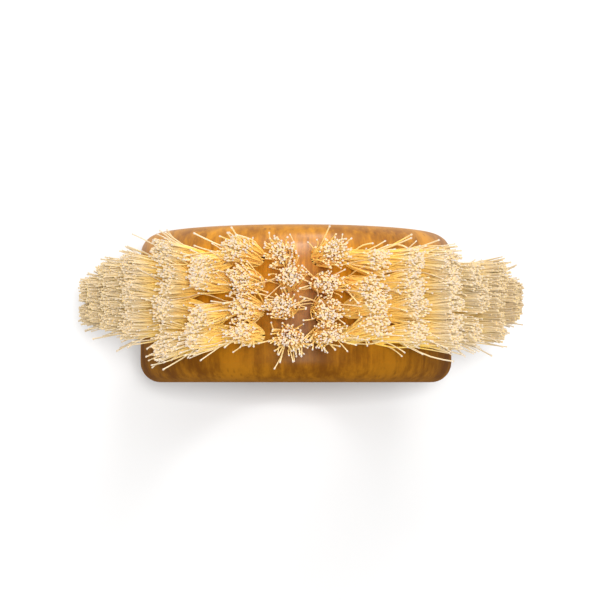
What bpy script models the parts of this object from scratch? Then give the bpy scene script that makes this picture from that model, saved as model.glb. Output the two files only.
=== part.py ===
# Ring-shaped vegetable brush: a bamboo ring that slips over the fingers, with stiff
# plant-fibre tufts set radially round its upper half.
#
# Frame: +Z up, metres. The ring's axis runs along Y, its palm flat rests on Z = 0 and the
# tufts point up and to both sides. The origin is the middle of the footprint on the floor.

import math

import bmesh
import bpy
from mathutils import Matrix, Vector

# The bamboo ring
RING_OUTER_RADIUS = 0.0400
RING_WALL = 0.0095
RING_WIDTH = 0.0380
OUTER_EDGE_RADIUS = 0.0052
INNER_EDGE_RADIUS = 0.0035
LEAST_LAND = 0.0004
PALM_FLAT_DEPTH = 0.0020

# The tuft field: columns round the ring, each with its own number of rows across it
COLUMN_ANGLE = math.radians(10.8)
ROWS_FROM_MIDDLE = (4, 4, 4, 4, 3, 3, 2, 2)
ROW_SPACING = 0.0062
FIELD_OFFSET = 0.0014
FIELD_MARGIN = 0.0009

# The drilled holes, and the slice of backing that each column of tufts is fused to
HOLE_RADIUS = 0.0021
HOLE_DEPTH = 0.0065
SLICE_THICKNESS = 0.0012
CLEARANCE = 0.0003

# The flat wire that anchors the folded tufts of one column
ANCHOR_THICKNESS = 0.0005
ANCHOR_HEIGHT = 0.0014
ANCHOR_BITE = 0.0006
FOLD_THICKNESS = 0.0009

# The fibres, trimmed to a round outline that stands a little to one side of the ring's axis
BRISTLE_LENGTH = 0.0168
TRIM_OFFSET = 0.0012
STRANDS_AROUND_TUFT = 7
STRAND_SIDES = 3
STRAND_ROOT_RADIUS = 0.00045
STRAND_TIP_RADIUS = 0.00040
TUFT_ROOT_SPREAD = 0.00130
TUFT_TIP_SPREAD_ROUND = 0.0034
TUFT_TIP_SPREAD_ACROSS = 0.0024
EDGE_ROW_LEAN = 0.0008

# How finely round shapes are divided
RING_STEPS = 64
OUTER_EDGE_STEPS = 5
INNER_EDGE_STEPS = 3
STEPS_PER_COLUMN = 2
HOLE_SIDES = 8
FOOT_SIDES = 6

# Sizes that follow from those above
RING_INNER_RADIUS = RING_OUTER_RADIUS - RING_WALL
RING_CENTRE_HEIGHT = RING_OUTER_RADIUS - PALM_FLAT_DEPTH
HALF_WIDTH = RING_WIDTH / 2
COLUMN_COUNT = 2 * len(ROWS_FROM_MIDDLE)
FIELD_HALF_ANGLE = COLUMN_COUNT * COLUMN_ANGLE / 2
FIELD_HALF_WIDTH = (max(ROWS_FROM_MIDDLE) - 1) * ROW_SPACING / 2 + HOLE_RADIUS + FIELD_MARGIN
SLICE_FLOOR_RADIUS = RING_OUTER_RADIUS - SLICE_THICKNESS
HOLE_FLOOR_RADIUS = RING_OUTER_RADIUS - HOLE_DEPTH
FOOT_RADIUS = HOLE_RADIUS - CLEARANCE
FOOT_END_RADIUS = HOLE_FLOOR_RADIUS + CLEARANCE
ANCHOR_FLOOR_RADIUS = FOOT_END_RADIUS + FOLD_THICKNESS + CLEARANCE
ROOT_RADIUS = RING_OUTER_RADIUS - SLICE_THICKNESS / 2
TIP_RADIUS = RING_OUTER_RADIUS + BRISTLE_LENGTH
CUT_THROUGH = 0.004
GOLDEN_ANGLE = math.pi * (3 - math.sqrt(5))


def clear_scene():
    for obj in list(bpy.data.objects):
        bpy.data.objects.remove(obj)


def make_material(name, colour, roughness, metallic=0.0):
    material = bpy.data.materials.new(name)
    material.use_nodes = True
    shader = material.node_tree.nodes["Principled BSDF"]
    shader.inputs["Base Color"].default_value = (*colour, 1.0)
    shader.inputs["Roughness"].default_value = roughness
    shader.inputs["Metallic"].default_value = metallic
    return material


def make_empty(name, location=(0, 0, 0), turn=0.0, parent=None):
    empty = bpy.data.objects.new(name, None)
    empty.location = location
    empty.rotation_euler.y = turn
    empty.parent = parent
    bpy.context.collection.objects.link(empty)
    return empty


def make_object(name, bm, parent, material=None):
    bmesh.ops.recalc_face_normals(bm, faces=bm.faces)
    mesh = bpy.data.meshes.new(name)
    bm.to_mesh(mesh)
    bm.free()
    obj = bpy.data.objects.new(name, mesh)
    obj.parent = parent
    bpy.context.collection.objects.link(obj)
    if material:
        mesh.materials.append(material)
    return obj


def as_helper(obj):
    """Keeps a cutter or a shape to be joined out of the finished object."""
    obj.hide_render = True
    obj.display_type = "WIRE"
    return obj


def add_boolean(obj, other, operation):
    modifier = obj.modifiers.new(other.name, "BOOLEAN")
    modifier.operation = operation
    modifier.object = other
    modifier.solver = "EXACT"


def smooth_round_faces(obj, crease=math.radians(40)):
    obj.data.shade_smooth()
    obj.data.set_sharp_from_angle(angle=crease)


def arc_points(centre, radius, start, end, steps):
    """Points (r, y) along an arc. Angles are measured from the outward direction towards +Y."""
    points = []
    for i in range(steps + 1):
        angle = start + (end - start) * i / steps
        points.append((centre[0] + radius * math.cos(angle), centre[1] + radius * math.sin(angle)))
    return points


def ring_section():
    """The ring's cross-section as (distance from the axis, position along it)."""
    outer = (RING_OUTER_RADIUS - OUTER_EDGE_RADIUS, HALF_WIDTH - OUTER_EDGE_RADIUS)
    inner_edge = min(INNER_EDGE_RADIUS, RING_WALL - OUTER_EDGE_RADIUS - LEAST_LAND)
    inner = (RING_INNER_RADIUS + inner_edge, HALF_WIDTH - inner_edge)
    quarter = math.pi / 2
    upper = arc_points(outer, OUTER_EDGE_RADIUS, 0, quarter, OUTER_EDGE_STEPS)
    upper += arc_points(inner, inner_edge, quarter, 2 * quarter, INNER_EDGE_STEPS)
    lower = [(r, -y) for r, y in reversed(upper)]
    return upper + lower


def surface_radius(y):
    """Distance of the ring's outer surface from its axis, at a place across the ring."""
    into_edge = abs(y) - (HALF_WIDTH - OUTER_EDGE_RADIUS)
    if into_edge <= 0:
        return RING_OUTER_RADIUS
    drop = OUTER_EDGE_RADIUS - math.sqrt(max(OUTER_EDGE_RADIUS**2 - into_edge**2, 0))
    return RING_OUTER_RADIUS - drop


def spin_outline(bm, outline, start, sweep, steps):
    """Turns a closed (r, y) outline about the Y axis, from start through sweep."""
    full_turn = math.isclose(sweep, 2 * math.pi)
    verts = [bm.verts.new((math.sin(start) * r, y, math.cos(start) * r)) for r, y in outline]
    edges = [bm.edges.new(pair) for pair in zip(verts, verts[1:] + verts[:1])]
    first_face = None if full_turn else bm.faces.new(verts)
    spun = bmesh.ops.spin(
        bm,
        geom=verts + edges,
        cent=(0, 0, 0),
        axis=(0, 1, 0),
        angle=sweep,
        steps=steps,
        use_merge=full_turn,
    )
    if first_face:
        last = [g for g in spun["geom_last"] if isinstance(g, bmesh.types.BMVert)]
        bm.faces.new(last)


def column_angles():
    """Each column's angle from straight up, and its number of rows, from -X round to +X."""
    for i in range(COLUMN_COUNT):
        from_middle = i - (COLUMN_COUNT - 1) / 2
        yield from_middle * COLUMN_ANGLE, ROWS_FROM_MIDDLE[int(abs(from_middle))]


def row_places(rows):
    """Where a column's tufts stand across the ring."""
    return [FIELD_OFFSET + (i - (rows - 1) / 2) * ROW_SPACING for i in range(rows)]


def anchor_reach(rows):
    """The ends of a column's anchor wire across the ring."""
    places = row_places(rows)
    past_hole = HOLE_RADIUS + ANCHOR_BITE
    return places[0] - past_hole, places[-1] + past_hole


def add_block(bm, low, high, turn=0.0):
    """A box between two corners, turned about the ring's axis."""
    size = Vector(high) - Vector(low)
    middle = (Vector(high) + Vector(low)) / 2
    place = Matrix.Rotation(turn, 4, "Y") @ Matrix.Translation(middle) @ Matrix.Diagonal((*size, 1))
    bmesh.ops.create_cube(bm, size=1, matrix=place)


def add_post(bm, radius, low, high, y, sides, turn=0.0):
    """A round post that points away from the ring's axis."""
    middle = Matrix.Translation((0, y, (low + high) / 2))
    bmesh.ops.create_cone(
        bm,
        cap_ends=True,
        segments=sides,
        radius1=radius,
        radius2=radius,
        depth=high - low,
        matrix=Matrix.Rotation(turn, 4, "Y") @ middle,
    )


def make_recess_cutter(parent):
    """The band that is let into the ring for the slices of backing."""
    low = FIELD_OFFSET - FIELD_HALF_WIDTH - CLEARANCE
    high = FIELD_OFFSET + FIELD_HALF_WIDTH + CLEARANCE
    floor = SLICE_FLOOR_RADIUS - CLEARANCE
    top = RING_OUTER_RADIUS + CUT_THROUGH
    half_angle = FIELD_HALF_ANGLE + CLEARANCE / RING_OUTER_RADIUS
    bm = bmesh.new()
    outline = [(floor, low), (top, low), (top, high), (floor, high)]
    spin_outline(bm, outline, -half_angle, 2 * half_angle, COLUMN_COUNT * STEPS_PER_COLUMN)
    return as_helper(make_object("recess_cutter", bm, parent))


def make_hole_cutter(parent):
    bm = bmesh.new()
    for angle, rows in column_angles():
        for y in row_places(rows):
            top = RING_OUTER_RADIUS + CUT_THROUGH
            add_post(bm, HOLE_RADIUS, HOLE_FLOOR_RADIUS, top, y, HOLE_SIDES, turn=angle)
    return as_helper(make_object("hole_cutter", bm, parent))


def make_anchor_slot_cutter(parent):
    """Room for every anchor wire, cut from the ring and from the folded tuft feet."""
    bm = bmesh.new()
    half = ANCHOR_THICKNESS / 2 + CLEARANCE
    low = ANCHOR_FLOOR_RADIUS - CLEARANCE
    high = ANCHOR_FLOOR_RADIUS + ANCHOR_HEIGHT + CLEARANCE
    for angle, rows in column_angles():
        start, end = anchor_reach(rows)
        add_block(bm, (-half, start - CLEARANCE, low), (half, end + CLEARANCE, high), turn=angle)
    return as_helper(make_object("anchor_slot_cutter", bm, parent))


def make_ring(parent, material, cutters):
    bm = bmesh.new()
    spin_outline(bm, ring_section(), 0.0, 2 * math.pi, RING_STEPS)
    cut = bmesh.ops.bisect_plane(
        bm,
        geom=bm.verts[:] + bm.edges[:] + bm.faces[:],
        plane_co=(0, 0, -RING_CENTRE_HEIGHT),
        plane_no=(0, 0, -1),
        clear_outer=True,
    )
    rim = [g for g in cut["geom_cut"] if isinstance(g, bmesh.types.BMEdge)]
    bmesh.ops.holes_fill(bm, edges=rim, sides=0)
    ring = make_object("ring_body", bm, parent, material)
    smooth_round_faces(ring)
    for cutter in cutters:
        add_boolean(ring, cutter, "DIFFERENCE")
    return ring


def slice_outline():
    """Cross-section of a slice of backing: the ring's own surface outside, the recess inside."""
    low = FIELD_OFFSET - FIELD_HALF_WIDTH
    high = FIELD_OFFSET + FIELD_HALF_WIDTH
    straight_end = HALF_WIDTH - OUTER_EDGE_RADIUS
    stops = [low, -straight_end, straight_end, (straight_end + high) / 2, high]
    stops = sorted({y for y in stops if low <= y <= high})
    outside = [(surface_radius(y), y) for y in stops]
    return outside + [(SLICE_FLOOR_RADIUS, high), (SLICE_FLOOR_RADIUS, low)]


def trimmed_height(x, angle):
    """How far from the ring's axis the trim cuts a strand of the column that stands at an angle."""
    across = x - TRIM_OFFSET * math.cos(angle)
    return TRIM_OFFSET * math.sin(angle) + math.sqrt(TIP_RADIUS**2 - across**2)


def strand_ends(index, tuft, edge, mirror):
    """Where one strand leaves the backing and where it ends, as (round, across) offsets."""
    if index == 0:
        return (0.0, 0.0), (0.0, edge * EDGE_ROW_LEAN)
    angle = 2 * math.pi * index / STRANDS_AROUND_TUFT + tuft * GOLDEN_ANGLE
    around, across = mirror * math.cos(angle), math.sin(angle)
    root = (TUFT_ROOT_SPREAD * around, TUFT_ROOT_SPREAD * across)
    tip = (TUFT_TIP_SPREAD_ROUND * around, TUFT_TIP_SPREAD_ACROSS * across + edge * EDGE_ROW_LEAN)
    return root, tip


def add_strand(bm, root, tip):
    """One slightly tapered strand between two points."""
    line = tip - root
    turn = line.to_track_quat("Z", "Y").to_matrix().to_4x4()
    bmesh.ops.create_cone(
        bm,
        cap_ends=True,
        segments=STRAND_SIDES,
        radius1=STRAND_ROOT_RADIUS,
        radius2=STRAND_TIP_RADIUS,
        depth=line.length,
        matrix=Matrix.Translation((root + tip) / 2) @ turn,
    )


def make_fibres(number, angle, rows, parent):
    """The folded feet and the strands of one column, still loose from its slice."""
    mirror = 1 if angle > 0 else -1
    bm = bmesh.new()
    for row, y in enumerate(row_places(rows)):
        add_post(bm, FOOT_RADIUS, FOOT_END_RADIUS, ROOT_RADIUS, y, FOOT_SIDES)
        edge = -1 if row == 0 else 1 if row == rows - 1 else 0
        tuft = row + len(ROWS_FROM_MIDDLE) * rows
        for index in range(STRANDS_AROUND_TUFT + 1):
            root, tip = strand_ends(index, tuft, edge, mirror)
            start = Vector((root[0], y + root[1], ROOT_RADIUS))
            end = Vector((tip[0], y + tip[1], trimmed_height(tip[0], angle)))
            add_strand(bm, start, end)
    return as_helper(make_object(f"fibres_{number:02d}", bm, parent))


def make_bristle_column(number, angle, rows, pivot, material, slot_cutter):
    """A slice of the backing with its tufts fused in, modelled pointing straight up."""
    gap_angle = CLEARANCE / RING_OUTER_RADIUS
    sweep = COLUMN_ANGLE - gap_angle
    bm = bmesh.new()
    spin_outline(bm, slice_outline(), -sweep / 2, sweep, STEPS_PER_COLUMN)
    column = make_object(f"bristle_column_{number:02d}", bm, pivot, material)
    add_boolean(column, make_fibres(number, angle, rows, pivot), "UNION")
    add_boolean(column, slot_cutter, "DIFFERENCE")
    return column


def make_anchor(number, rows, pivot, material):
    """The flat wire that passes through the folds of one column's tufts."""
    half = ANCHOR_THICKNESS / 2
    start, end = anchor_reach(rows)
    bm = bmesh.new()
    low = (-half, start, ANCHOR_FLOOR_RADIUS)
    high = (half, end, ANCHOR_FLOOR_RADIUS + ANCHOR_HEIGHT)
    add_block(bm, low, high)
    return make_object(f"anchor_wire_{number:02d}", bm, pivot, material)


def main():
    clear_scene()
    bamboo = make_material("bamboo", (0.50, 0.25, 0.06), 0.35)
    fibre = make_material("fibre", (0.85, 0.66, 0.36), 0.60)
    wire = make_material("anchor_wire", (0.62, 0.62, 0.60), 0.40, metallic=1.0)

    centre = make_empty("ring_centre", location=(0, 0, RING_CENTRE_HEIGHT))
    slot_cutter = make_anchor_slot_cutter(centre)
    cutters = [make_recess_cutter(centre), make_hole_cutter(centre), slot_cutter]
    make_ring(centre, bamboo, cutters)

    for number, (angle, rows) in enumerate(column_angles(), start=1):
        pivot = make_empty(f"column_pivot_{number:02d}", turn=angle, parent=centre)
        make_bristle_column(number, angle, rows, pivot, fibre, slot_cutter)
        make_anchor(number, rows, pivot, wire)


main()
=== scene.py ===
"""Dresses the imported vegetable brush: a lacquered bamboo ring, its drilled holes, the fibre
tufts that stand in them and the wire anchors that hold the folds. Metres, +Z up."""

import math

import bpy
import numpy as np
from bpy.props import FloatProperty, FloatVectorProperty, IntProperty, PointerProperty
from bpy.types import Operator, Panel, PropertyGroup
from mathutils import Matrix, Vector


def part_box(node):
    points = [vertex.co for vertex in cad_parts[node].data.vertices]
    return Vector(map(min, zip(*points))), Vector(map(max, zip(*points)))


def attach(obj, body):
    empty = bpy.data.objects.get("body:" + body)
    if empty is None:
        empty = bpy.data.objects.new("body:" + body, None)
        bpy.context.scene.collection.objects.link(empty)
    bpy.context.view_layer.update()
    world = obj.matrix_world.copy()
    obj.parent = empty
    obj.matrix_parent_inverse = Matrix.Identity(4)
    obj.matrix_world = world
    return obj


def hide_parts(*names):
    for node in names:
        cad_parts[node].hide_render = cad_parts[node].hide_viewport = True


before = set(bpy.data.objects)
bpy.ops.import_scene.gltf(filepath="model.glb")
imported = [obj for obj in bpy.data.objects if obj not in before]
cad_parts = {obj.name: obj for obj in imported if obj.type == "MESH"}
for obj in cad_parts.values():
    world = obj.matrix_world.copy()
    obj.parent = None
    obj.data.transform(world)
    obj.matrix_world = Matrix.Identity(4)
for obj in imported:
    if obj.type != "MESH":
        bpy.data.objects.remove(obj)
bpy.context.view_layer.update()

bl_info = {
    "name": "Vegetable Brush",
    "version": (1, 0, 0),
    "blender": (4, 5, 0),
    "location": "3D View > Sidebar > Brush",
    "description": "Makes the bamboo ring, the fibre tufts and the anchors of a ring-shaped brush",
    "category": "Object",
}

BODY = "root"
MM = 0.001
CLOSE_BY = 0.0004
WELD = 0.00001
WHITE = (1.0, 1.0, 1.0)

# What the frame says about the ring and the columns of tufts
RING_LOW, RING_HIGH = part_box("ring_body")
RING_RADIUS = (RING_HIGH.x - RING_LOW.x) / 2
RING_WIDTH = RING_HIGH.y - RING_LOW.y
RING_CENTRE = Vector((0, 0, RING_HIGH.z - RING_RADIUS))
COLUMN_NODES = sorted(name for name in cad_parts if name.startswith("bristle_column"))
ANCHOR_NODES = sorted(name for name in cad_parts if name.startswith("anchor_wire"))


class RingSettings(PropertyGroup):
    """The bamboo ring and the holes drilled in it."""

    wall: FloatProperty(
        name="Wall", description="Thickness of the ring", default=0.0095, unit="LENGTH"
    )
    outer_edge: FloatProperty(
        name="Outer edge", description="Rounding of the outer rims", default=0.0052, unit="LENGTH"
    )
    inner_edge: FloatProperty(
        name="Inner edge", description="Rounding at the finger hole", default=0.0035, unit="LENGTH"
    )
    hole_radius: FloatProperty(
        name="Hole radius", description="Radius of a tuft's hole", default=0.0021, unit="LENGTH"
    )
    hole_depth: FloatProperty(
        name="Hole depth", description="Depth of a tuft's hole", default=0.0065, unit="LENGTH"
    )
    light_wood: FloatVectorProperty(
        name="Light grain", description="Colour of the pale grain",
        default=(0.535, 0.222, 0.009), subtype="COLOR",
    )
    dark_wood: FloatVectorProperty(
        name="Dark grain", description="Colour of the dark grain",
        default=(0.235, 0.082, 0.003), subtype="COLOR",
    )
    lacquer: FloatProperty(
        name="Lacquer", description="How strong the gloss coat is", default=0.50, subtype="FACTOR"
    )


class TuftSettings(PropertyGroup):
    """The fibre tufts."""

    row_spacing: FloatProperty(
        name="Row spacing", description="Distance between the holes of a column",
        default=0.0062, unit="LENGTH",
    )
    length: FloatProperty(
        name="Length", description="How far the tufts stand out of the ring",
        default=0.0168, unit="LENGTH",
    )
    trim_offset: FloatProperty(
        name="Trim offset", description="How far to +X the middle of the round trim lies",
        default=0.0012, unit="LENGTH",
    )
    fibres: IntProperty(name="Fibres", description="Fibres in one tuft", default=165, min=1)
    fibre_diameter: FloatProperty(
        name="Fibre", description="Thickness of a fibre", default=0.00032, unit="LENGTH"
    )
    burr: FloatProperty(
        name="Burr", description="How much wider a fibre is where it was cut", default=1.50
    )
    spread_round: FloatProperty(
        name="Spread round", description="Half the tuft's width at its tips, round the ring",
        default=0.0024, unit="LENGTH",
    )
    spread_across: FloatProperty(
        name="Spread across", description="Half the tuft's width at its tips, across the ring",
        default=0.0040, unit="LENGTH",
    )
    crown_round: FloatProperty(
        name="Crown spread round", description="Half a top tuft's width at its tips, round the ring",
        default=0.0032, unit="LENGTH",
    )
    crown_across: FloatProperty(
        name="Crown spread across", description="Half a top tuft's width at its tips, across the ring",
        default=0.0029, unit="LENGTH",
    )
    edge_lean: FloatProperty(
        name="Edge lean", description="How far the outer rows lean out at their tips",
        default=0.0004, unit="LENGTH",
    )
    field_lean: FloatProperty(
        name="Field lean", description="How far all the tips lean to +Y",
        default=-0.0001, unit="LENGTH",
    )
    clumps: IntProperty(
        name="Clumps", description="Small groups that a tuft's tips gather in", default=16, min=1
    )
    clumping: FloatProperty(
        name="Clumping", description="How far the tips draw together in their groups",
        default=0.20, subtype="FACTOR",
    )
    crossing: FloatProperty(
        name="Crossing", description="How far the fibres of a tuft cross one another",
        default=0.45, subtype="FACTOR",
    )
    uneven: FloatProperty(
        name="Uneven", description="Share of fibres that stop short of the trim",
        default=0.36, subtype="FACTOR",
    )
    strays: FloatProperty(
        name="Strays", description="Share of fibres that stand away from their tuft",
        default=0.040, subtype="FACTOR",
    )
    seed: IntProperty(name="Seed", description="Start of the random draws", default=11)
    # These fibre colours are partly painted light: the bright orange near the wood is painted glow for
    # light deep in the tufts, and the cut ends and tips are painted darker where the most light falls
    cut_end: FloatVectorProperty(
        name="Cut ends", description="Colour of the cut fibre ends",
        default=(0.44, 0.375, 0.33), subtype="COLOR",
    )
    shaft: FloatVectorProperty(
        name="Shafts", description="Colour of the fibres near their tips",
        default=(0.66, 0.57, 0.44), subtype="COLOR",
    )
    base: FloatVectorProperty(
        name="Bases", description="Colour of the fibres near the wood",
        default=(0.97, 0.70, 0.11), subtype="COLOR",
    )


class AnchorSettings(PropertyGroup):
    """The flat wire across each fold."""

    thickness: FloatProperty(
        name="Thickness", description="Thickness of the wire", default=0.0005, unit="LENGTH"
    )
    height: FloatProperty(
        name="Height", description="Height of the wire's section", default=0.0014, unit="LENGTH"
    )
    bite: FloatProperty(
        name="Bite", description="How far an anchor goes into the wood past its hole",
        default=0.0006, unit="LENGTH",
    )
    metal: FloatVectorProperty(
        name="Metal", description="Colour of the wire", default=(0.62, 0.62, 0.60), subtype="COLOR"
    )


class StageSettings(PropertyGroup):
    """The camera, the floor and the lights."""

    distance: FloatProperty(
        name="Distance", description="Camera distance from the ring's centre",
        default=0.490, unit="LENGTH",
    )
    lens: FloatProperty(
        name="Lens", description="Focal length in millimetres", default=113.7, unit="CAMERA"
    )
    floor_size: FloatProperty(
        name="Floor", description="Length of the floor's side", default=6.0, unit="LENGTH"
    )
    floor_colour: FloatVectorProperty(
        name="Floor colour", description="Colour of the floor",
        default=(0.64, 0.64, 0.64), subtype="COLOR",
    )
    overhead: FloatProperty(
        name="Overhead light", description="Strength of the small light overhead",
        default=4.9, unit="POWER",
    )
    softbox: FloatProperty(
        name="Softbox", description="Strength of the large light above and to +Y",
        default=1.45, unit="POWER",
    )
    raking: FloatProperty(
        name="Raking light", description="Strength of the low light from +Y that casts the shadow",
        default=4.1, unit="POWER",
    )
    fill: FloatProperty(
        name="Fill", description="Strength of the even light from all round", default=0.73
    )
    bounces: IntProperty(
        name="Bounces", description="How often light may pass from fibre to fibre", default=20
    )


# Shader helpers

# The Mix node's inputs and output for colours
MIX_SHARE, MIX_FIRST, MIX_SECOND, MIX_RESULT = 0, 6, 7, 2


class Wire:
    """A value in a material. Sums on it add the Math nodes that they need."""

    def __init__(self, finish, socket):
        self.finish = finish
        self.socket = socket

    def _sum(self, operation, first, second):
        return self.finish.node("ShaderNodeMath", {"operation": operation}, {0: first, 1: second})

    def __add__(self, other):
        return self._sum("ADD", self, other)

    def __sub__(self, other):
        return self._sum("SUBTRACT", self, other)

    def __rsub__(self, other):
        return self._sum("SUBTRACT", other, self)

    def __mul__(self, other):
        return self._sum("MULTIPLY", self, other)

    __radd__ = __add__
    __rmul__ = __mul__


class Finish:
    """A material under way, with its Principled BSDF."""

    def __init__(self, name):
        self.material = bpy.data.materials.new(name)
        self.material.use_nodes = True
        self.tree = self.material.node_tree
        self.surface = self.tree.nodes["Principled BSDF"]

    def fill(self, socket, value):
        if isinstance(value, Wire):
            self.tree.links.new(value.socket, socket)
        elif socket.type == "RGBA" and len(value) == 3:
            socket.default_value = (*value, 1.0)
        else:
            socket.default_value = value

    def node(self, kind, settings=None, sockets=None, output=0):
        """Adds a node, applies its settings, fills its sockets and gives one of its outputs."""
        node = self.tree.nodes.new(kind)
        for name, value in (settings or {}).items():
            setattr(node, name, value)
        for name, value in (sockets or {}).items():
            self.fill(node.inputs[name], value)
        return Wire(self, node.outputs[output])

    def mix(self, share, first, second, blend="MIX"):
        """Blends two colours."""
        settings = {"data_type": "RGBA", "blend_type": blend}
        sockets = {MIX_SHARE: share, MIX_FIRST: first, MIX_SECOND: second}
        return self.node("ShaderNodeMix", settings, sockets, output=MIX_RESULT)

    def multiply(self, first, second):
        return self.mix(1.0, first, second, "MULTIPLY")

    def tint(self, colour, value, recipe):
        """Brings in a tint. Its recipe is the value's range it comes in over, a share and a colour."""
        (low, high), share, target = recipe
        return self.mix(self.between(value, low, high) * share, colour, target)

    def between(self, value, low, high):
        """0 below low, 1 above high and smooth between them."""
        settings = {"interpolation_type": "SMOOTHSTEP"}
        sockets = {"Value": value, "From Min": low, "From Max": high}
        return self.node("ShaderNodeMapRange", settings, sockets)

    def noise(self, place, scale, detail=2.0, roughness=0.5):
        sockets = {"Vector": place, "Scale": scale, "Detail": detail, "Roughness": roughness}
        return self.node("ShaderNodeTexNoise", {}, sockets)

    def stretched(self, along=1.0):
        """The object's own coordinates, with Y drawn out where a pattern runs along the grain."""
        place = self.node("ShaderNodeTexCoord", output="Object")
        return self.node("ShaderNodeMapping", {}, {"Vector": place, "Scale": (1.0, along, 1.0)})

    def axis(self, place, name):
        """One of a place's three numbers."""
        return self.node("ShaderNodeSeparateXYZ", {}, {"Vector": place}, output=name)

    def bump(self, height, distance, strength):
        sockets = {"Height": height, "Distance": distance, "Strength": strength}
        return self.node("ShaderNodeBump", {}, sockets)

    def set(self, **sockets):
        """Fills sockets of the Principled BSDF, with _ for a space in their names."""
        for name, value in sockets.items():
            self.fill(self.surface.inputs[name.replace("_", " ")], value)


# The materials

# Places along Y: where the bamboo's end faces begin, where painted shade darkens it and where its far
# rim is
END_FACE = (0.0176, 0.0188)
PAINTED_SHADE_RANGE = (-0.016, 0.014)
FAR_RIM = (0.010, 0.0155)

# How far each pattern in the bamboo is drawn out along the grain: the less, the longer it is
BROAD_STRETCH, MOTTLE_STRETCH = 0.25, 0.45
STREAK_STRETCH, HAIR_STRETCH, VESSEL_STRETCH = 0.07, 0.035, 0.045

# How much each pattern counts in the bamboo's tone and in the height of its surface
BROAD_SHARE, MOTTLE_SHARE, STREAK_SHARE, HAIR_SHARE = 0.40, 0.30, 0.22, 0.08
FINE_HEIGHT, VESSEL_DEPTH = 0.5, 0.4

# The bamboo's painted shade at its near side, the grain's range of tones, its calm ends and its vessels
PAINTED_NEAR_SHADE = (0.52, 0.49, 0.50)
GRAIN_RANGE = (0.39, 0.61)
END_TONE, END_CALM = 0.62, 0.6
VESSEL_RANGE = (0.10, 0.26)
VESSEL_SHARE, VESSEL_DARKNESS = 0.45, 0.5

# How much of the lacquer's coat shows away from the far rim
PLAIN_GLOSS = 0.14


def bamboo_finish(ring):
    """Lacquered bamboo: golden grain along the ring's axis, with dark vessels and soft patches.
    Its end faces are calmer, painted shade darkens it towards -Y, the side that gets less light, and it
    shines most on its +Y rim."""
    finish = Finish("lacquered_bamboo")
    broad = finish.noise(finish.stretched(BROAD_STRETCH), scale=85.0, detail=3.0)
    mottle = finish.noise(finish.stretched(MOTTLE_STRETCH), scale=330.0, detail=4.0, roughness=0.65)
    streaks = finish.noise(finish.stretched(STREAK_STRETCH), scale=620.0, detail=3.0, roughness=0.6)
    hairs = finish.noise(finish.stretched(HAIR_STRETCH), scale=2400.0, detail=2.0)
    vessels = finish.node(
        "ShaderNodeTexVoronoi",
        {"feature": "F1"},
        {"Vector": finish.stretched(VESSEL_STRETCH), "Scale": 560.0, "Randomness": 1.0},
    )
    vessel = 1.0 - finish.between(vessels, *VESSEL_RANGE)
    grain = broad * BROAD_SHARE + mottle * MOTTLE_SHARE + streaks * STREAK_SHARE + hairs * HAIR_SHARE
    tone = finish.between(grain, *GRAIN_RANGE)
    across = finish.axis(finish.stretched(), "Y")
    end_grain = finish.between(across * across, END_FACE[0] ** 2, END_FACE[1] ** 2)
    tone = tone + (END_TONE - tone) * end_grain * END_CALM
    colour = finish.mix(tone, tuple(ring.dark_wood), tuple(ring.light_wood))
    # Painted shade: the bamboo's colour is darkened towards -Y, the side that gets less light
    painted_shade = finish.between(across, *PAINTED_SHADE_RANGE)
    rim = finish.between(across, *FAR_RIM)
    colour = finish.multiply(colour, finish.mix(painted_shade, PAINTED_NEAR_SHADE, WHITE))
    dark = tuple(VESSEL_DARKNESS * c for c in ring.dark_wood)
    colour = finish.mix(vessel * VESSEL_SHARE, colour, dark)
    height = hairs * FINE_HEIGHT + streaks * FINE_HEIGHT - vessel * VESSEL_DEPTH
    finish.set(
        Base_Color=colour,
        Roughness=0.42 + streaks * 0.12,
        Specular_IOR_Level=0.0,
        Coat_Weight=ring.lacquer * (PLAIN_GLOSS + rim * (1 - PLAIN_GLOSS)),
        Coat_Roughness=0.38,
        Coat_IOR=1.8,
        Normal=finish.bump(height, distance=0.00006, strength=0.35),
    )
    return finish.material


# Every fibre has a tone: 0 in a stray one and at least LEAST_TONE in the others
LEAST_TONE = 0.1

# Tints by tone
WARM_FIBRE = ((0.55, 1.0), 0.30, (0.98, 0.58, 0.10))
PALE_FIBRE = ((0.6, 1.0), 0.22, (0.70, 0.63, 0.55))
STRAY_FIBRE = ((0.0, LEAST_TONE), 0.65, (0.74, 0.68, 0.60))
GOLDEN_END = ((0.25, 0.9), 0.65, (0.72, 0.46, 0.15))

# Places along a fibre in its UV map: the cut end, the shaft up to it and how the colour changes
CUT_END, SHAFT_TOP = 1.0, 0.98
CUT_EDGE = (0.985, 0.999)
BASE_TO_SHAFT = (0.74, 1.02)
TOWARDS_TIP = (0.40, 0.9)

# How far along X painted light and shade reach: the side tufts' tips are painted paler, the outer tufts
# take painted shade, and there is more painted shade towards +X
SIDE = (0.008, 0.034)
PAINTED_SIDE_TIP, SIDE_SHARE = (0.62, 0.57, 0.53), 0.65
OUTER_SIDE = (0.022, 0.050)
PAINTED_OUTER_SHADE = (0.78, 0.72, 0.62)
RIGHT_END = (0.040, 0.056)
PAINTED_RIGHT_SHADE = (0.90, 0.86, 0.84)


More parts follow.
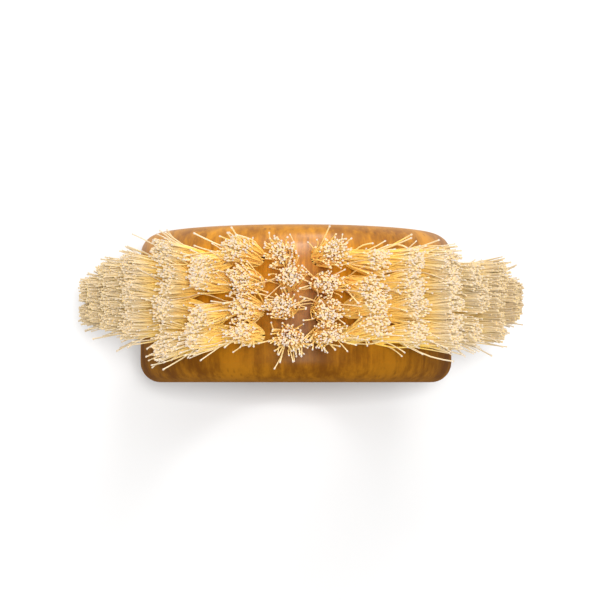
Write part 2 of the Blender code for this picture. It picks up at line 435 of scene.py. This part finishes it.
def fibre_finish(tufts):
    """Stiff plant fibre. The UV map runs from 0 at the root to 1 on the cut end, and across it
    holds each fibre's tone."""
    finish = Finish("plant_fibre")
    place = finish.node("ShaderNodeUVMap", {"uv_map": "fibre"})
    tone = finish.axis(place, "X")
    along = finish.axis(place, "Y")
    sideways = finish.axis(finish.stretched(), "X")
    # Painted glow: the colour runs from a bright orange near the wood, standing in for light deep in
    # the tuft, to darker shafts near the tips; the golden hue itself is the fibres' own
    shaft = finish.between(along, *BASE_TO_SHAFT)
    colour = finish.mix(shaft, tuple(tufts.base), tuple(tufts.shaft))
    colour = finish.tint(colour, tone, WARM_FIBRE)
    colour = finish.tint(colour, 1.0 - tone, PALE_FIBRE)
    colour = finish.tint(colour, LEAST_TONE - tone, STRAY_FIBRE)
    # Painted light and shade by place along X: paler painted tips on the side tufts, painted shade on
    # the outer tufts and more painted shade at the +X end
    side = finish.between(sideways * sideways, SIDE[0] ** 2, SIDE[1] ** 2)
    tip = finish.between(along, *TOWARDS_TIP)
    colour = finish.mix(side * tip * SIDE_SHARE, colour, PAINTED_SIDE_TIP)
    outer = finish.between(sideways * sideways, OUTER_SIDE[0] ** 2, OUTER_SIDE[1] ** 2)
    colour = finish.multiply(colour, finish.mix(outer, WHITE, PAINTED_OUTER_SHADE))
    right = finish.between(sideways, *RIGHT_END)
    colour = finish.multiply(colour, finish.mix(right, WHITE, PAINTED_RIGHT_SHADE))
    cut = finish.tint(tuple(tufts.cut_end), tone, GOLDEN_END)
    finish.set(
        Base_Color=finish.mix(finish.between(along, *CUT_EDGE), colour, cut),
        Roughness=0.5,
        Specular_IOR_Level=0.08,
        Sheen_Weight=1.0,
        Sheen_Roughness=0.6,
        Sheen_Tint=(1.0, 0.72, 0.22),
    )
    return finish.material


# The darker lines in the wire, how far they are drawn out, and the darker clouds in the floor
LINE_DARKNESS, LINE_STRETCH = 0.8, 0.02
CLOUD_DARKNESS = 0.99


def wire_finish(anchors):
    """Plain drawn steel wire with fine lines along it."""
    finish = Finish("anchor_steel")
    lines = finish.noise(finish.stretched(LINE_STRETCH), scale=5000.0)
    dark = tuple(LINE_DARKNESS * c for c in anchors.metal)
    finish.set(
        Base_Color=finish.mix(lines, dark, tuple(anchors.metal)),
        Metallic=1.0,
        Roughness=0.30 + lines * 0.15,
    )
    return finish.material


def floor_finish(stage):
    """Smooth pale board with the faintest unevenness."""
    finish = Finish("pale_board")
    cloud = finish.noise(finish.node("ShaderNodeTexCoord", output="Object"), scale=3.0)
    colour = tuple(stage.floor_colour)
    finish.set(
        Base_Color=finish.mix(cloud, tuple(CLOUD_DARKNESS * c for c in colour), colour),
        Roughness=0.9,
        Specular_IOR_Level=0.1,
    )
    return finish.material


# Modelling helpers


def deselect_all():
    if bpy.context.object and bpy.context.object.mode != "OBJECT":
        bpy.ops.object.mode_set(mode="OBJECT")
    bpy.ops.object.select_all(action="DESELECT")


def select_only(obj):
    deselect_all()
    obj.select_set(True)
    bpy.context.view_layer.objects.active = obj


def choose_vertices(obj, wanted):
    """Selects the vertices whose place passes the test, and ends in edit mode."""
    bpy.ops.object.mode_set(mode="EDIT")
    bpy.ops.mesh.select_mode(type="VERT")
    bpy.ops.mesh.select_all(action="DESELECT")
    bpy.ops.object.mode_set(mode="OBJECT")
    for vertex in obj.data.vertices:
        vertex.select = wanted(vertex.co)
    bpy.ops.object.mode_set(mode="EDIT")


def settle(obj):
    """Puts the object's place, turn and scale into its mesh."""
    select_only(obj)
    bpy.ops.object.transform_apply(location=True, rotation=True, scale=True)


def apply_modifier(obj, kind, **settings):
    select_only(obj)
    modifier = obj.modifiers.new(kind.lower(), kind)
    for name, value in settings.items():
        setattr(modifier, name, value)
    bpy.ops.object.modifier_apply(modifier=modifier.name)


def dress(obj, material, replaced):
    """Gives a finished piece its material and its place in the frame's table."""
    obj.data.materials.clear()
    obj.data.materials.append(material)
    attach(obj, BODY)
    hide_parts(replaced)


def operator_settings(context):
    scene = context.scene
    return scene.brush_ring, scene.brush_tufts, scene.brush_anchors, scene.brush_stage


# Where the tufts stand


def column_angle(anchor_node):
    """A column's angle from straight up, read from where its anchor lies."""
    low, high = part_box(anchor_node)
    middle = (low + high) / 2 - RING_CENTRE
    return math.atan2(middle.x, middle.z)


def column_rows(anchor_node, ring, tufts, anchors):
    """Where a column's tufts stand along Y, read from how far its anchor reaches."""
    low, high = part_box(anchor_node)
    past_hole = ring.hole_radius + anchors.bite
    first, last = low.y + past_hole, high.y - past_hole
    count = round((last - first) / tufts.row_spacing) + 1
    return [first + (last - first) * i / (count - 1) for i in range(count)]


# The ring

OUTER_EDGE_STEPS, INNER_EDGE_STEPS = 14, 9
RING_STEPS = 160
DRILL_SIDES = 24
FLAT_TOLERANCE = 0.000001
RING_CREASE = math.radians(35)


def model_ring_section(ring):
    """The ring's cross-section, straight above the axis: a rectangle with rounded corners."""
    deselect_all()
    bpy.ops.mesh.primitive_plane_add(size=1, rotation=(0, math.pi / 2, 0))
    section = bpy.context.object
    section.name = "ring"
    section.scale = (ring.wall, RING_WIDTH, 1)
    section.location = RING_CENTRE + Vector((0, 0, RING_RADIUS - ring.wall / 2))
    settle(section)
    inside = RING_CENTRE.z + RING_RADIUS - ring.wall
    choose_vertices(section, lambda place: place.z > inside + ring.wall / 2)
    bpy.ops.mesh.bevel(offset=ring.outer_edge, segments=OUTER_EDGE_STEPS, affect="VERTICES")
    choose_vertices(section, lambda place: place.z < inside + CLOSE_BY)
    bpy.ops.mesh.bevel(offset=ring.inner_edge, segments=INNER_EDGE_STEPS, affect="VERTICES")
    bpy.ops.object.mode_set(mode="OBJECT")
    return section


def model_drills(ring, tufts, anchors):
    """One round drill at every tuft's place, joined to one cutter."""
    above = 0.002
    drills = []
    for node in ANCHOR_NODES:
        angle = column_angle(node)
        turn = Matrix.Rotation(angle, 4, "Y")
        for y in column_rows(node, ring, tufts, anchors):
            reach = RING_RADIUS + (above - ring.hole_depth) / 2
            deselect_all()
            bpy.ops.mesh.primitive_cylinder_add(
                vertices=DRILL_SIDES, radius=ring.hole_radius, depth=ring.hole_depth + above
            )
            drill = bpy.context.object
            outwards = Matrix.Translation((0, y, reach))
            drill.matrix_world = Matrix.Translation(RING_CENTRE) @ turn @ outwards
            drills.append(drill)
    deselect_all()
    for drill in drills:
        drill.select_set(True)
    bpy.context.view_layer.objects.active = drills[0]
    bpy.ops.object.join()
    settle(drills[0])
    return drills[0]


def model_ring(ring, tufts, anchors):
    """Turns the section round the axis, cuts the palm flat and drills the holes."""
    blank = model_ring_section(ring)
    select_only(blank)
    bpy.ops.object.mode_set(mode="EDIT")
    bpy.ops.mesh.select_all(action="SELECT")
    bpy.ops.mesh.delete(type="ONLY_FACE")
    bpy.ops.mesh.select_all(action="SELECT")
    bpy.ops.mesh.spin(steps=RING_STEPS, angle=2 * math.pi, center=RING_CENTRE, axis=(0, 1, 0))
    bpy.ops.mesh.select_all(action="SELECT")
    bpy.ops.mesh.remove_doubles(threshold=WELD)
    bpy.ops.mesh.normals_make_consistent(inside=False)
    bpy.ops.mesh.bisect(
        plane_co=(0, 0, 0), plane_no=(0, 0, -1), use_fill=True, clear_outer=True,
        threshold=FLAT_TOLERANCE,
    )
    bpy.ops.mesh.select_all(action="SELECT")
    bpy.ops.mesh.normals_make_consistent(inside=False)
    bpy.ops.object.mode_set(mode="OBJECT")
    drills = model_drills(ring, tufts, anchors)
    apply_modifier(blank, "BOOLEAN", object=drills, operation="DIFFERENCE", solver="EXACT")
    bpy.data.objects.remove(drills)
    select_only(blank)
    bpy.ops.object.shade_smooth_by_angle(angle=RING_CREASE)
    return blank


# The tufts

# The straight fibre: its steps from root to cut end, as shares of its length, and its sides
FIBRE_STEPS = (0.17, 0.17, 0.17, 0.17, 0.17, 0.125, 0.025)
FIBRE_SIDES = 5

# A face of the straight fibre that lies all above this height is its cut end
CAP_FROM = 0.999

# The ring's top, its sides and the last columns at each end, by angle from straight up
CROWN_ANGLE, CROWN_START = math.radians(38), 1.25
OUTER_ANGLE, OUTER_SPAN = math.radians(40), math.radians(30)
LAST_ANGLE, LAST_SPAN = math.radians(62), math.radians(19)

# How a tuft's fibres are set out at its hole and at its tips, as shares of their size there
GOLDEN_ANGLE = math.pi * (3 - math.sqrt(5))
DISC_DISORDER = 0.06
ROOT_FILL = 1.25
TUFT_SIZES = (0.8, 1.22)
TIP_DISORDER = 0.28
EDGE_NARROWING = 0.70

# How far a whole tuft leans, each tip is off its place, and a fibre ends off the trim
TUFT_LEAN = 0.0010
LAST_LEAN = 0.0019
TIP_JITTER = 0.00010
TRIM_JITTER = 0.00025
SHORT_BY = (0.0003, 0.0006, 0.0034)

# A fibre's course: its fold's depth in the hole, how it fans out and bows, and how thick it is
FOLD_DEPTH = 0.6
FLARE = 0.75
BOW, STRAY_BOW = 0.00016, 3.0
THICKNESSES = (0.8, 1.18)
PATH_STEP = 0.01

# How far apart the settings' seeds are, so that every column can have its own between them
SEED_STEP = 1000

# Strays: how many more there are in some places, and how far they stand out of their tufts
NEAR_EDGE_STRAYS = 1.6
FAR_EDGE_STRAYS = 0.8
LAST_STRAYS = 1.2
CROWN_STRAYS = 2.6
STRAY_PUSH = np.array([0.0017, 0.0010])
NEAR_EDGE_PUSH = (0.0004, 0.0008, 0.0046)
FAR_EDGE_PUSH = (0.0003, 0.0026)
LAST_PUSH = 0.8
CROWN_PUSH, CROWN_PUSH_SHARE = 1.4, 0.5
STRAY_CURVE = 1.5
STRAY_SAG = 1.6
STRAY_LENGTHS = (-0.001, 0.0006)


def model_fibre(tufts):
    """One straight fibre, a unit long and a unit in radius, and wider at its cut end."""
    deselect_all()
    bpy.ops.mesh.primitive_circle_add(vertices=FIBRE_SIDES, radius=1, fill_type="NGON")
    fibre = bpy.context.object
    bpy.ops.object.mode_set(mode="EDIT")
    bpy.ops.mesh.select_all(action="SELECT")
    for step in FIBRE_STEPS:
        bpy.ops.mesh.extrude_region_move(TRANSFORM_OT_translate={"value": (0, 0, step)})
    bpy.ops.transform.resize(value=(tufts.burr, tufts.burr, 1), center_override=(0, 0, 1))
    bpy.ops.mesh.select_all(action="SELECT")
    bpy.ops.mesh.normals_make_consistent(inside=False)
    bpy.ops.object.mode_set(mode="OBJECT")
    return fibre


def disc_points(count, random):
    """Points spread evenly over a disc of radius 1, a little disordered."""
    index = np.arange(count) + 0.5
    radius = np.sqrt(index / count)
    angle = index * GOLDEN_ANGLE + random.uniform(0, 2 * math.pi)
    points = np.stack([radius * np.cos(angle), radius * np.sin(angle)], axis=1)
    return points + random.normal(0, DISC_DISORDER, (count, 2))


def draw_together(tip, tufts, random):
    """Moves the tips of one tuft part of the way to the nearest of a few chosen ones."""
    centres = tip[random.choice(len(tip), min(tufts.clumps, len(tip)), replace=False)]
    apart = np.linalg.norm(tip[:, None] - centres[None], axis=2)
    return tip + (centres[apart.argmin(axis=1)] - tip) * tufts.clumping


def trimmed_reach(round_offset, angle, tufts):
    """How far from the ring's axis the round trim cuts a column's fibres."""
    across = round_offset - tufts.trim_offset * math.cos(angle)
    trim_radius = RING_RADIUS + tufts.length
    return tufts.trim_offset * math.sin(angle) + np.sqrt(trim_radius**2 - across**2)


def clamp(share):
    return min(1.0, max(0.0, share))


def root_places(disc, ring, tufts, random):
    """The offsets (round, across) of a tuft's fibres at the wood. They fill the hole up to a third
    of a fibre from its wall."""
    crossed = disc * (1 - tufts.crossing) + random.permutation(disc) * tufts.crossing
    crossed *= ROOT_FILL / np.hypot(1 - tufts.crossing, tufts.crossing)
    crossed /= np.maximum(1.0, np.linalg.norm(crossed, axis=1, keepdims=True))
    return crossed * (ring.hole_radius - tufts.fibre_diameter / 3)


def tip_places(disc, crown, last, edge, tufts, random):
    """The offsets (round, across) of a tuft's fibres at their tips, without what makes strays."""
    side_spread = np.array([tufts.spread_round, tufts.spread_across])
    crown_spread = np.array([tufts.crown_round, tufts.crown_across])
    spread = side_spread + (crown_spread - side_spread) * crown
    spread = spread * random.uniform(*TUFT_SIZES, 2)
    lean = random.normal(0, 1, 2) * TUFT_LEAN
    lean[1] += edge * tufts.edge_lean + tufts.field_lean
    lean[1] += LAST_LEAN * last * (edge < 0)
    tip = disc * spread * np.exp(random.normal(0, TIP_DISORDER, (len(disc), 1)))
    tip[:, 1] *= np.where(tip[:, 1] * edge > 0, EDGE_NARROWING, 1.0)
    return draw_together(tip, tufts, random) + random.normal(0, TIP_JITTER, tip.shape) + lean


def stray_bends(crown, last, edge, tufts, random):
    """How far each fibre's tip is pushed out of its tuft, and how much of a stray it is."""
    count = tufts.fibres
    near_edge, far_edge = edge < 0, edge > 0
    more = NEAR_EDGE_STRAYS * near_edge + (FAR_EDGE_STRAYS + LAST_STRAYS * last) * far_edge
    share = tufts.strays * (1.0 + more + CROWN_STRAYS * crown)
    stray = random.uniform(0, 1, count) < share
    pushed = random.uniform(0, 1, (count, 1)) < CROWN_PUSH_SHARE
    far = 1 + CROWN_PUSH * crown * (edge == 0) * pushed
    push = random.normal(0, 1, (count, 2)) * STRAY_PUSH * far
    push[:, 1] -= random.triangular(*NEAR_EDGE_PUSH, count) * near_edge
    push[:, 1] += random.uniform(*FAR_EDGE_PUSH, count) * far_edge * (1 + LAST_PUSH * last)
    return push * stray[:, None], stray * far[:, 0]


def fibre_ends(tip, bend, stray, angle, tufts, random):
    """How far from the ring's axis each fibre of a tuft ends."""
    count = len(tip)
    end = trimmed_reach(tip[:, 0], angle, tufts) + random.normal(0, TRIM_JITTER, count)
    sag = (bend**2).sum(axis=1) / (2 * tufts.length) * STRAY_SAG
    outer = clamp((abs(angle) - OUTER_ANGLE) / OUTER_SPAN)
    short = random.uniform(0, 1, count) < tufts.uneven * (1 + outer)
    end = end - sag + stray * random.uniform(*STRAY_LENGTHS, count)
    return end - short * random.triangular(*SHORT_BY, count)


def bend_fibres(template, y, angle, edge, ring, tufts, random):
    """Copies the straight fibre into every fibre of one tuft. Gives points and tones. The edge
    is -1 in the column's row nearest -Y, 1 in the one nearest +Y and 0 between them."""
    count = tufts.fibres
    disc = disc_points(count, random)
    crown = clamp(CROWN_START - abs(angle) / CROWN_ANGLE)
    last = clamp((abs(angle) - LAST_ANGLE) / LAST_SPAN)
    root = root_places(disc, ring, tufts, random)
    tip = tip_places(disc, crown, last, edge, tufts, random)
    bend, stray = stray_bends(crown, last, edge, tufts, random)
    bow = random.normal(0, BOW, (count, 2)) * np.where(stray > 0, STRAY_BOW, 1.0)[:, None]
    end = fibre_ends(tip, bend, stray, angle, tufts, random)
    start = RING_RADIUS - ring.hole_depth * FOLD_DEPTH
    height = template[:, 2]

    def path(share):
        reach = start + (end - start)[:, None] * share
        above = np.clip((reach - RING_RADIUS) / (end - RING_RADIUS)[:, None], 0, 1)
        flare = (above**FLARE)[..., None]
        offset = root[:, None] + (tip - root)[:, None] * flare
        offset = offset + bend[:, None] * (above**STRAY_CURVE)[..., None]
        offset = offset + bow[:, None] * np.sin(math.pi * above)[..., None]
        return np.concatenate([offset + np.array([0, y]), reach[..., None]], axis=2)

    centre = path(height[None, :])
    heading = path(height[None, :] + PATH_STEP) - path(height[None, :] - PATH_STEP)
    heading /= np.linalg.norm(heading, axis=2, keepdims=True)
    side = np.cross(heading, np.array([0.0, 1.0, 0.0]))
    side /= np.linalg.norm(side, axis=2, keepdims=True)
    other = np.cross(heading, side)
    roll = random.uniform(0, 2 * math.pi, (count, 1))
    x = template[:, 0] * np.cos(roll) - template[:, 1] * np.sin(roll)
    z = template[:, 0] * np.sin(roll) + template[:, 1] * np.cos(roll)
    radius = tufts.fibre_diameter / 2 * random.uniform(*THICKNESSES, (count, 1))
    points = centre + (side * x[..., None] + other * z[..., None]) * radius[..., None]
    tones = np.where(stray > 0, 0.0, random.uniform(LEAST_TONE, 1.0, count))
    return points, tones


def model_column(number, anchor_node, fibre, ring, tufts, anchors):
    """All the tufts of one column as one mesh of copied fibres."""
    angle = column_angle(anchor_node)
    rows = column_rows(anchor_node, ring, tufts, anchors)
    random = np.random.default_rng(tufts.seed * SEED_STEP + number)
    template = np.array([vertex.co for vertex in fibre.data.vertices])
    faces = [list(polygon.vertices) for polygon in fibre.data.polygons]
    points, tones = [], []
    for row, y in enumerate(rows):
        edge = -1 if row == 0 else 1 if row == len(rows) - 1 else 0
        bent, tone = bend_fibres(template, y, angle, edge, ring, tufts, random)
        points.append(bent)
        tones.append(tone)
    points = np.concatenate(points)
    tones = np.concatenate(tones)
    turn = np.array(Matrix.Rotation(angle, 3, "Y"))
    points = points @ turn.T + np.array(RING_CENTRE)

    count, corners = len(points), len(template)
    offsets = np.arange(count) * corners
    all_faces = [[vertex + offset for vertex in face] for offset in offsets for face in faces]
    mesh = bpy.data.meshes.new(f"tufts_{number:02d}")
    mesh.from_pydata(points.reshape(-1, 3).tolist(), [], all_faces)
    is_cap = [all(template[v, 2] > CAP_FROM for v in face) for face in faces]
    mesh.polygons.foreach_set("use_smooth", [not cap for cap in is_cap] * count)
    layer = mesh.uv_layers.new(name="fibre")
    along = [
        CUT_END if cap else SHAFT_TOP * template[v, 2] for cap, face in zip(is_cap, faces) for v in face
    ]
    across = np.repeat(tones, len(along))
    layer.data.foreach_set("uv", np.stack([across, np.tile(along, count)], axis=1).ravel())
    column = bpy.data.objects.new(f"tufts_{number:02d}", mesh)
    bpy.context.collection.objects.link(column)
    return column


# The anchors

WIRE_ROUNDING, WIRE_ROUNDING_STEPS = 0.3, 3
WIRE_CREASE = math.radians(40)


def model_anchor(ring, anchors):
    """One short flat wire with rounded edges, lying along Y."""
    deselect_all()
    length = 2 * (ring.hole_radius + anchors.bite)
    bpy.ops.mesh.primitive_cube_add(size=1)
    anchor = bpy.context.object
    anchor.scale = (anchors.thickness, length, anchors.height)
    settle(anchor)
    bpy.ops.object.mode_set(mode="EDIT")
    bpy.ops.mesh.select_all(action="SELECT")
    rounding = anchors.thickness * WIRE_ROUNDING
    bpy.ops.mesh.bevel(offset=rounding, segments=WIRE_ROUNDING_STEPS, affect="EDGES")
    bpy.ops.object.mode_set(mode="OBJECT")
    bpy.ops.object.shade_smooth_by_angle(angle=WIRE_CREASE)
    return anchor


def model_anchor_column(number, anchor_node, anchor, ring, tufts, anchors):
    """A copy of the anchor at each fold of one column."""
    angle = column_angle(anchor_node)
    low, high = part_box(anchor_node)
    middle = (low + high) / 2 - RING_CENTRE
    reach = math.hypot(middle.x, middle.z)
    turn = Matrix.Translation(RING_CENTRE) @ Matrix.Rotation(angle, 4, "Y")
    copies = []
    for y in column_rows(anchor_node, ring, tufts, anchors):
        copy = anchor.copy()
        copy.data = anchor.data.copy()
        bpy.context.collection.objects.link(copy)
        copy.matrix_world = turn @ Matrix.Translation((0, y, reach))
        copies.append(copy)
    deselect_all()
    for copy in copies:
        copy.select_set(True)
    bpy.context.view_layer.objects.active = copies[0]
    bpy.ops.object.join()
    copies[0].name = f"anchors_{number:02d}"
    settle(copies[0])
    return copies[0]


# The stage

# The camera's lean from straight up, in degrees along X and Y, and its aim past the ring's centre
CAMERA_LEAN = (-2.6, -2.2)
CAMERA_TARGET = Vector((1.03 * MM, 2.25 * MM, 0))
NEAREST_SEEN = 0.01


def direction(from_vertical, towards):
    """A direction in degrees from straight up, towards a compass angle from +Y to +X."""
    tilt, turn = math.radians(from_vertical), math.radians(towards)
    return Vector((math.sin(tilt) * math.sin(turn), math.sin(tilt) * math.cos(turn), math.cos(tilt)))


def add_softbox(name, power, distance, tilt, turn, size):
    """A square light that looks at the ring's centre. Its size is its angle seen from there."""
    data = bpy.data.lights.new(name, "AREA")
    data.shape = "RECTANGLE"
    data.size = 2 * distance * math.tan(math.radians(size / 2))
    data.size_y = data.size
    data.energy = power
    light = bpy.data.objects.new(name, data)
    away = direction(tilt, turn)
    light.location = RING_CENTRE + away * distance
    light.rotation_euler = away.to_track_quat("Z", "Y").to_euler()
    bpy.context.collection.objects.link(light)


def add_camera(stage):
    """Nearly straight above the brush, a little to -X and -Y of it."""
    lean_x, lean_y = (math.radians(lean) for lean in CAMERA_LEAN)
    away = Vector((math.tan(lean_x), math.tan(lean_y), 1)).normalized()
    target = RING_CENTRE + CAMERA_TARGET
    data = bpy.data.cameras.new("camera")
    data.lens = stage.lens
    data.clip_start = NEAREST_SEEN
    camera = bpy.data.objects.new("camera", data)
    camera.location = RING_CENTRE + away * stage.distance
    back = (camera.location - target).normalized()
    right = Vector((0, 1, 0)).cross(back).normalized()
    up = back.cross(right)
    camera.rotation_euler = Matrix((right, up, back)).transposed().to_euler()
    bpy.context.collection.objects.link(camera)
    bpy.context.scene.camera = camera


def set_surroundings(stage):
    """An even light from all round, plain colours, and how far light is followed."""
    world = bpy.data.worlds.new("studio")
    bpy.context.scene.world = world
    world.use_nodes = True
    background = world.node_tree.nodes["Background"]
    background.inputs["Color"].default_value = (1, 1, 1, 1)
    background.inputs["Strength"].default_value = stage.fill
    bpy.context.scene.view_settings.view_transform = "Standard"
    bpy.context.scene.cycles.diffuse_bounces = stage.bounces
    bpy.context.scene.cycles.max_bounces = stage.bounces


class BRUSH_OT_ring(Operator):
    """Make the bamboo ring with its palm flat and drilled holes"""

    bl_idname = "brush.make_ring"
    bl_label = "Ring"

    def execute(self, context):
        ring, tufts, anchors, _ = operator_settings(context)
        blank = model_ring(ring, tufts, anchors)
        dress(blank, bamboo_finish(ring), "ring_body")
        return {"FINISHED"}


class BRUSH_OT_tufts(Operator):
    """Make every column of fibre tufts"""

    bl_idname = "brush.make_tufts"
    bl_label = "Tufts"

    def execute(self, context):
        ring, tufts, anchors, _ = operator_settings(context)
        if len(COLUMN_NODES) != len(ANCHOR_NODES):
            raise RuntimeError("each column of tufts needs its anchor in the frame")
        material = fibre_finish(tufts)
        fibre = model_fibre(tufts)
        for number, (node, anchor_node) in enumerate(zip(COLUMN_NODES, ANCHOR_NODES), start=1):
            column = model_column(number, anchor_node, fibre, ring, tufts, anchors)
            dress(column, material, node)
        bpy.data.objects.remove(fibre)
        return {"FINISHED"}


class BRUSH_OT_anchors(Operator):
    """Make the wire anchors that hold the folds"""

    bl_idname = "brush.make_anchors"
    bl_label = "Anchors"

    def execute(self, context):
        ring, tufts, anchors, _ = operator_settings(context)
        material = wire_finish(anchors)
        anchor = model_anchor(ring, anchors)
        for number, node in enumerate(ANCHOR_NODES, start=1):
            column = model_anchor_column(number, node, anchor, ring, tufts, anchors)
            dress(column, material, node)
        bpy.data.objects.remove(anchor)
        return {"FINISHED"}


class BRUSH_OT_stage(Operator):
    """Set the floor, the lights and the camera"""

    bl_idname = "brush.set_stage"
    bl_label = "Stage"

    def execute(self, context):
        *_, stage = operator_settings(context)
        deselect_all()
        bpy.ops.mesh.primitive_plane_add(size=stage.floor_size)
        floor = bpy.context.object
        floor.name = "floor"
        floor.data.materials.append(floor_finish(stage))
        add_softbox("overhead", stage.overhead, distance=0.75, tilt=0, turn=0, size=8)
        add_softbox("softbox", stage.softbox, distance=0.75, tilt=30, turn=0, size=40)
        add_softbox("raking", stage.raking, distance=1.2, tilt=50, turn=13, size=14)
        add_camera(stage)
        set_surroundings(stage)
        return {"FINISHED"}


class BRUSH_PT_panel(Panel):
    """Lists the steps that make the brush"""

    bl_idname = "BRUSH_PT_panel"
    bl_label = "Vegetable Brush"
    bl_space_type = "VIEW_3D"
    bl_region_type = "UI"
    bl_category = "Brush"

    def draw(self, context):
        for operator in OPERATORS:
            self.layout.operator(operator.bl_idname)
        for group in operator_settings(context):
            box = self.layout.box()
            for name in group.__annotations__:
                box.prop(group, name)


OPERATORS = (BRUSH_OT_ring, BRUSH_OT_tufts, BRUSH_OT_anchors, BRUSH_OT_stage)
GROUPS = {
    "brush_ring": RingSettings,
    "brush_tufts": TuftSettings,
    "brush_anchors": AnchorSettings,
    "brush_stage": StageSettings,
}


def register():
    for cls in (*GROUPS.values(), *OPERATORS, BRUSH_PT_panel):
        bpy.utils.register_class(cls)
    for name, group in GROUPS.items():
        setattr(bpy.types.Scene, name, PointerProperty(type=group))


def unregister():
    for name in GROUPS:
        delattr(bpy.types.Scene, name)
    for cls in reversed((*GROUPS.values(), *OPERATORS, BRUSH_PT_panel)):
        bpy.utils.unregister_class(cls)


def main():
    register()
    bpy.ops.brush.make_ring()
    bpy.ops.brush.make_tufts()
    bpy.ops.brush.make_anchors()
    bpy.ops.brush.set_stage()


if __name__ == "__main__":
    main()
